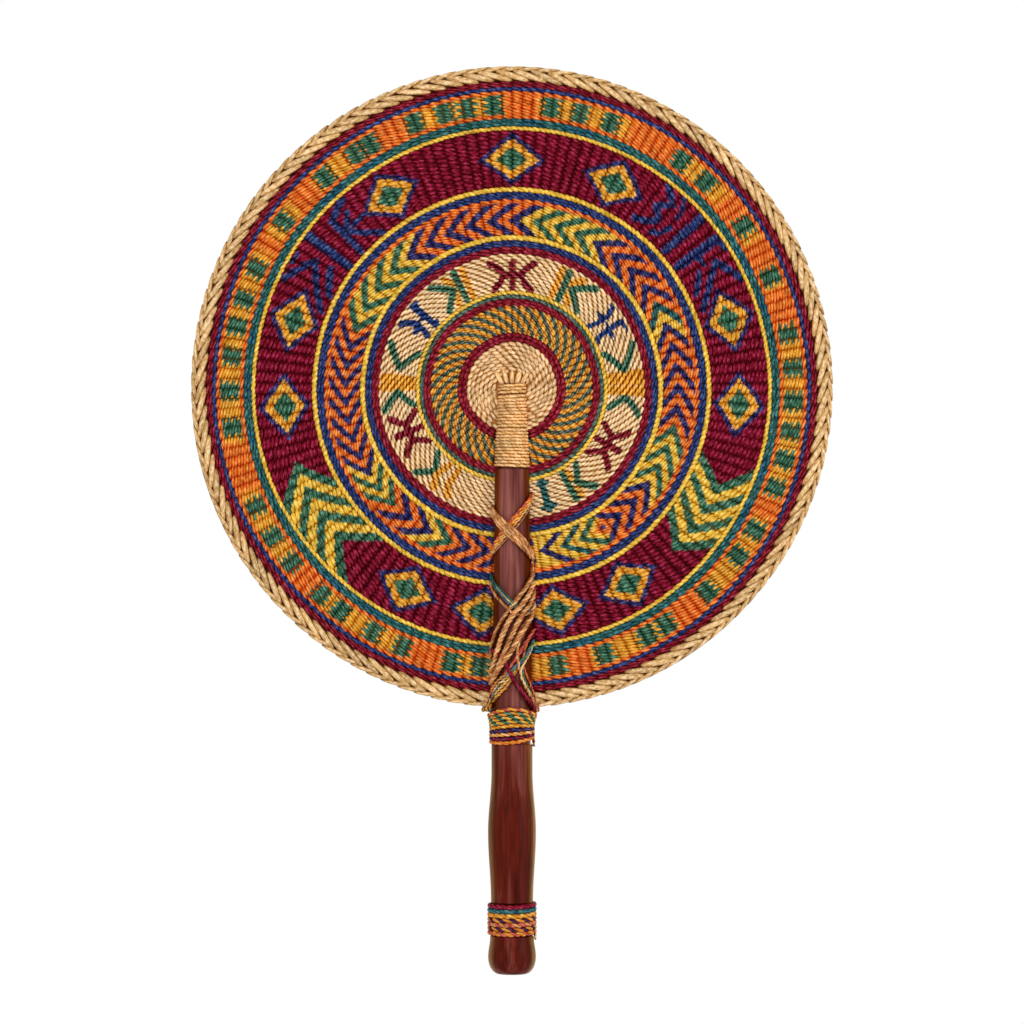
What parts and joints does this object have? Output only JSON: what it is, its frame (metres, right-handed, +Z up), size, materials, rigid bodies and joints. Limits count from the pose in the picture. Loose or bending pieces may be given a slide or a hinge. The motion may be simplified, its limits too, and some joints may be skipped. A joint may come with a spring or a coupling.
{
  "type": "woven hand fan",
  "caption": "Round hand fan of twined coloured straw on warp stakes, with a plaited rim, held in a split turned wooden handle by cord bindings and lacing.",
  "frame": {"origin": "on the handle's axis, in the middle of the grip", "axes": "+Z up the handle towards the disc, -Y out of the disc's front face, +X to the right seen from the front"},
  "size_m": [0.3216, 0.0314, 0.4541],
  "materials": {
    "wood": "satin varnish",
    "natural_straw": "satin",
    "stake_straw": "satin",
    "red_straw": "satin",
    "green_straw": "satin",
    "yellow_straw": "satin",
    "gold_straw": "satin",
    "blue_straw": "satin",
    "navy_straw": "satin",
    "maroon_straw": "satin",
    "teal_straw": "satin",
    "orange_straw": "satin",
    "tan_twine": "matte"
  },
  "bodies": {
    "root": {"handle": "wood", "warp_stakes": "stake_straw", "hub_weave": "natural_straw", "hub_red_band": "red_straw", "gold_green_spiral_band": "gold_straw", "inner_red_band": "red_straw", "inner_green_band": "green_straw", "inner_yellow_band": "yellow_straw", "natural_motif_band": "natural_straw", "middle_red_band": "red_straw", "middle_blue_band": "blue_straw", "middle_yellow_band": "yellow_straw", "chevron_band": "navy_straw", "outer_blue_band": "blue_straw", "outer_yellow_band": "yellow_straw", "maroon_motif_band": "maroon_straw", "border_yellow_band": "yellow_straw", "border_teal_band": "teal_straw", "orange_block_band": "orange_straw", "edge_blue_band": "blue_straw", "edge_red_band": "red_straw", "rim_braid": "natural_straw", "lacing_upper_tan": "tan_twine", "lacing_upper_orange": "orange_straw", "lacing_teal_ribbon": "teal_straw", "lacing_middle_cord": "tan_twine", "lacing_lower_cord": "tan_twine", "lacing_left_rim": "green_straw", "lacing_right_rim": "maroon_straw", "tip_binding": "tan_twine", "neck_binding": "gold_straw", "butt_binding": "gold_straw"}
  },
  "joints": []
}
